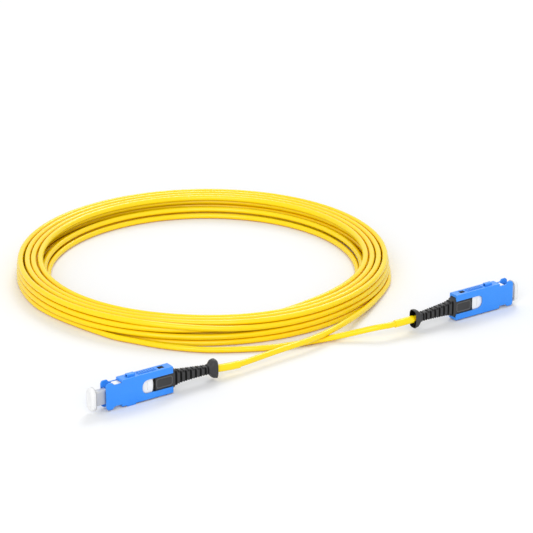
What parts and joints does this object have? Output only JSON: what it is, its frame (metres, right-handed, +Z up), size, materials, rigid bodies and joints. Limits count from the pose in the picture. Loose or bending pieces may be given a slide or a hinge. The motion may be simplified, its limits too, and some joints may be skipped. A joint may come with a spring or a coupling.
{
  "type": "fibre optic patch cable",
  "caption": "Fibre optic patch cable: a thin jacketed cable in a loose round coil, with a narrow push-pull plug, ribbed boot and dust cap at each end.",
  "frame": {"origin": "floor level, midway between the ends of the two caps", "axes": "+Z up; +X and +Y on the floor, with the longer way between the plugs along X and the coil at +Y"},
  "size_m": [0.1724, 0.1834, 0.0101],
  "materials": {
    "cable_jacket": "satin yellow jacket",
    "sleeve_plastic": "satin yellow sleeve",
    "blue_plastic": "moulded, low gloss",
    "boot_plastic": "moulded, satin black",
    "white_plastic": "moulded, low gloss",
    "cap_plastic": "soft milky white",
    "ceramic": "polished white ceramic",
    "spring_steel": "bright wire",
    "plated_metal": "nickel plated",
    "fibre_coating": "clear coating"
  },
  "bodies": {
    "cable": {"coil": "cable_jacket", "tail_a": "cable_jacket", "tail_b": "cable_jacket", "front_body_a": "white_plastic", "back_body_a": "white_plastic", "crimp_ring_a": "plated_metal", "cable_end_a": "cable_jacket", "cable_sleeve_a": "sleeve_plastic", "fibre_pair_a": "fibre_coating", "spring_upper_a": "spring_steel", "spring_lower_a": "spring_steel", "front_body_b": "white_plastic", "back_body_b": "white_plastic", "crimp_ring_b": "plated_metal", "cable_end_b": "cable_jacket", "cable_sleeve_b": "sleeve_plastic", "fibre_pair_b": "fibre_coating", "spring_upper_b": "spring_steel", "spring_lower_b": "spring_steel"},
    "housing_a": {"outer_housing_a": "blue_plastic", "boot_a": "boot_plastic"},
    "cap_a": {"dust_cap_a": "cap_plastic"},
    "ferrule_upper_a": {"ferrule_upper_a": "ceramic"},
    "ferrule_lower_a": {"ferrule_lower_a": "ceramic"},
    "housing_b": {"outer_housing_b": "blue_plastic", "boot_b": "boot_plastic"},
    "cap_b": {"dust_cap_b": "cap_plastic"},
    "ferrule_upper_b": {"ferrule_upper_b": "ceramic"},
    "ferrule_lower_b": {"ferrule_lower_b": "ceramic"}
  },
  "joints": [
    {"name": "housing_release_a", "type": "slide", "parent": "cable", "child": "housing_a", "axis": [0.8257, 0.5641, 0], "range_m": [0, 0.002]},
    {"name": "cap_pull_a", "type": "slide", "parent": "cable", "child": "cap_a", "axis": [-0.8257, -0.5641, 0], "range_m": [-0.00275, 0.00925]},
    {"name": "ferrule_upper_float_a", "type": "slide", "parent": "cable", "child": "ferrule_upper_a", "axis": [0.8257, 0.5641, 0], "range_m": [0, 0.0005], "stiffness_N_per_m": 100, "deforming": ["spring_upper_a"]},
    {"name": "ferrule_lower_float_a", "type": "slide", "parent": "cable", "child": "ferrule_lower_a", "axis": [0.8257, 0.5641, 0], "range_m": [0, 0.0005], "stiffness_N_per_m": 100, "deforming": ["spring_lower_a"]},
    {"name": "housing_release_b", "type": "slide", "parent": "cable", "child": "housing_b", "axis": [-0.8257, -0.5641, 0], "range_m": [0, 0.002]},
    {"name": "cap_pull_b", "type": "slide", "parent": "cable", "child": "cap_b", "axis": [0.8257, 0.5641, 0], "range_m": [0, 0.012]},
    {"name": "ferrule_upper_float_b", "type": "slide", "parent": "cable", "child": "ferrule_upper_b", "axis": [-0.8257, -0.5641, 0], "range_m": [0, 0.0005], "stiffness_N_per_m": 100, "deforming": ["spring_upper_b"]},
    {"name": "ferrule_lower_float_b", "type": "slide", "parent": "cable", "child": "ferrule_lower_b", "axis": [-0.8257, -0.5641, 0], "range_m": [0, 0.0005], "stiffness_N_per_m": 100, "deforming": ["spring_lower_b"]}
  ]
}
